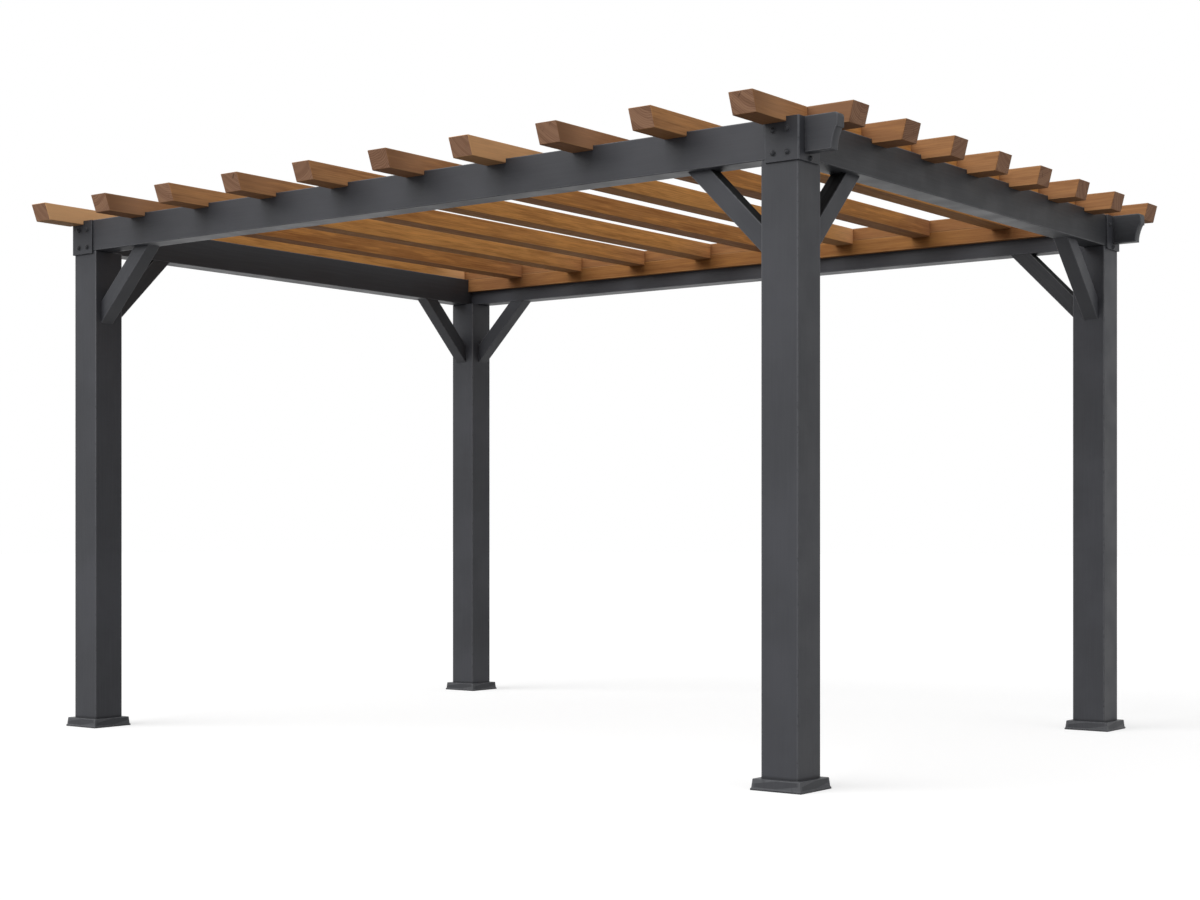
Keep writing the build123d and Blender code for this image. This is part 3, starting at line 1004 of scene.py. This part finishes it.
def make_beam_end(node):
    """The shaped end of a long beam. Its side outline is straight down at the root, along the heel, up a
    hollow curve to a small step, up the nose and round its top edge. The hollow is the chord moved in by
    4 * bulge * t * (1 - t). The outline is carried across the thickness and drawn in on a quarter circle at
    both faces."""
    low, high = box_of(node)
    length, thickness, height = high - low
    nose_low = height - nose_height
    cove_top = np.array((length - nose_step, nose_low))
    cove_foot = np.array((length - nose_step - cove_run, heel_height))
    t = np.linspace(0.0, 1.0, cove_steps + 1)[:, None]
    hollow = cove_foot * (1.0 - t) + cove_top * t - (1.0, 0.0) * (4.0 * cove_bulge * t * (1.0 - t))
    root = [(0.0, height), (0.0, height / 2), (0.0, 0.0)]
    heel = [(cove_foot[0] / 2, 0.0), (cove_foot[0], 0.0)]
    nose_centre = (length - beam_end_top_round, height - beam_end_top_round)
    outline = np.concatenate((
        root,
        heel,
        hollow,
        [(length, nose_low)],
        quarter_turn(nose_centre, beam_end_top_round, 0.0, 90.0, nose_round_steps),
        [(length / 2, height)],
    ))
    turned_left = left_of(ways_between(outline))
    before = np.roll(turned_left, 1, axis=0)
    mitre = (before + turned_left) / (1.0 + (before * turned_left).sum(axis=1, keepdims=True))
    back, draw_in = end_of_timber(beam_end_round, softened=True)
    place = thickness / 2 - back
    inset = np.concatenate((draw_in, (0.0,), draw_in[::-1]))
    places = np.concatenate((-place, (0.0,), place[::-1]))
    rings = outline[None] + inset[:, None, None] * mitre[None]
    distance = np.repeat(places[:, None], len(outline), axis=1)
    local = np.concatenate((distance[:, :, None], rings), axis=2)
    on_curve = np.zeros(len(outline), bool)
    cove_start = len(root) + len(heel)
    nose_start = cove_start + cove_steps + 2
    on_curve[cove_start:cove_start + cove_steps] = True
    on_curve[nose_start:nose_start + nose_round_steps] = True
    turned = np.ones(len(places) - 1, bool)
    turned[end_steps:end_steps + 2] = False
    arris = np.zeros(distance.shape)
    arris[end_steps + 1] = thickness / 2
    origin = np.array((low[0], (low[1] + high[1]) / 2, low[2]))
    hub = (length / 2, height * face_middle)
    smooth = on_curve[None, :] | turned[:, None]
    shell = carried_shell(local, arris, smooth, origin, -Y_AXIS, Z_AXIS, hub=hub)
    shell = shell._replace(grain=shell.points.copy())
    make_piece(f"{node}_timber", [shell], charcoal, node, painted_tone(node))


# The pergola

for corner in corner_signs:
    make_straight_timber(f"post_{corner}", 2, post_round, charcoal)
for node, axis in (("beam_front", 0), ("beam_back", 0), ("beam_left", 1), ("beam_right", 1)):
    make_straight_timber(node, axis, timber_round, charcoal)
make_straight_timber("back_ledger", 0, rafter_round, cedar, shaded_tone)
for number in range(1, rafter_count + 1):
    make_rafter(number)
for number in range(1, tail_count + 1):
    make_rafter_tail(number)
make_blocking()
for corner, (out_x, out_y) in corner_signs.items():
    side_y, side_x = corner.split("_")
    make_brace(f"knee_brace_{side_y}_at_{side_x}", 0, -out_x)
    make_brace(f"knee_brace_{side_x}_at_{side_y}", 1, -out_y)
for corner, (out_x, out_y) in corner_signs.items():
    make_base_trim(corner)
    make_corner_plate(corner, out_x, out_y)
    make_bolts(corner, out_x, out_y)
make_beam_end("beam_end_front")
make_beam_end("beam_end_back")


# Studio


def show_or_light(recipe, shown, given):
    """Puts one shader on the surface for the camera, for reflections and for what is seen through glass,
    and another one for light that bounces."""
    path = recipe.node("ShaderNodeLightPath").outputs
    reflected = recipe.maths("MAXIMUM", path["Is Glossy Ray"], path["Is Transmission Ray"])
    looks = recipe.maths("MAXIMUM", path["Is Camera Ray"], reflected)
    chosen = recipe.fill(recipe.node("ShaderNodeMixShader"), looks, given.outputs[0], shown.outputs[0])
    recipe.put(recipe.surface, chosen[0])


def grey(level):
    """A plain grey as a shader takes it, from 0 for black to 1 for white."""
    return level, level, level, 1.0


def pale_floor():
    """A pale floor: nearly white to the camera and to reflections, with the object's soft shadow, and a
    plain grey to light that bounces."""
    recipe = Recipe(bpy.data.materials.new("pale_floor"))
    glow = recipe.node("ShaderNodeEmission")
    recipe.fill(glow, grey(1.0), floor_glow)
    lit = recipe.node("ShaderNodeBsdfDiffuse")
    recipe.fill(lit, grey(floor_seen))
    shown = recipe.node("ShaderNodeAddShader")
    recipe.fill(shown, glow.outputs[0], lit.outputs[0])
    given = recipe.node("ShaderNodeBsdfDiffuse")
    recipe.fill(given, grey(floor_given))
    show_or_light(recipe, shown, given)
    return recipe.owner


def make_floor():
    """A large square of floor under the pergola, which belongs to the studio."""
    mesh = bpy.data.meshes.new("floor")
    corners = [(x, y, 0.0) for x, y in rectangle(floor_half, -floor_half, floor_half)]
    mesh.from_pydata(corners, [], [(0, 1, 2, 3)])
    mesh.materials.append(pale_floor())
    floor = bpy.data.objects.new("floor", mesh)
    bpy.context.scene.collection.objects.link(floor)


def make_surround():
    """A white surround for the camera and for reflections, and a plain soft light for everything else."""
    world = bpy.data.worlds.new("studio")
    bpy.context.scene.world = world
    recipe = Recipe(world, "ShaderNodeOutputWorld")
    given = recipe.node("ShaderNodeBackground")
    recipe.fill(given, grey(1.0), surround_light)
    shown = recipe.node("ShaderNodeBackground")
    recipe.fill(shown, grey(1.0), 1.0)
    show_or_light(recipe, shown, given)


def make_sun(name, strength, side, height, softness):
    """A soft sun lamp that shines from the given side and height."""
    lamp = bpy.data.lights.new(name, "SUN")
    lamp.energy = strength
    lamp.angle = math.radians(softness)
    holder = bpy.data.objects.new(name, lamp)
    holder.rotation_euler = (math.radians(90.0 - height), 0.0, math.radians(side))
    bpy.context.scene.collection.objects.link(holder)


def make_camera():
    """A level camera whose frame is shifted up, so that the posts stay upright."""
    lens = bpy.data.cameras.new("camera")
    lens.sensor_width = camera_sensor
    lens.lens = camera_lens
    lens.shift_y = camera_rise
    camera = bpy.data.objects.new("camera", lens)
    camera.location = camera_place
    camera.rotation_euler = (math.radians(90.0), 0.0, math.radians(camera_heading))
    bpy.context.scene.collection.objects.link(camera)
    bpy.context.scene.camera = camera


make_floor()
make_surround()
for name, values in suns.items():
    make_sun(name, *values)
make_camera()
bpy.context.scene.view_settings.view_transform = "Standard"

bpy.context.view_layer.update()
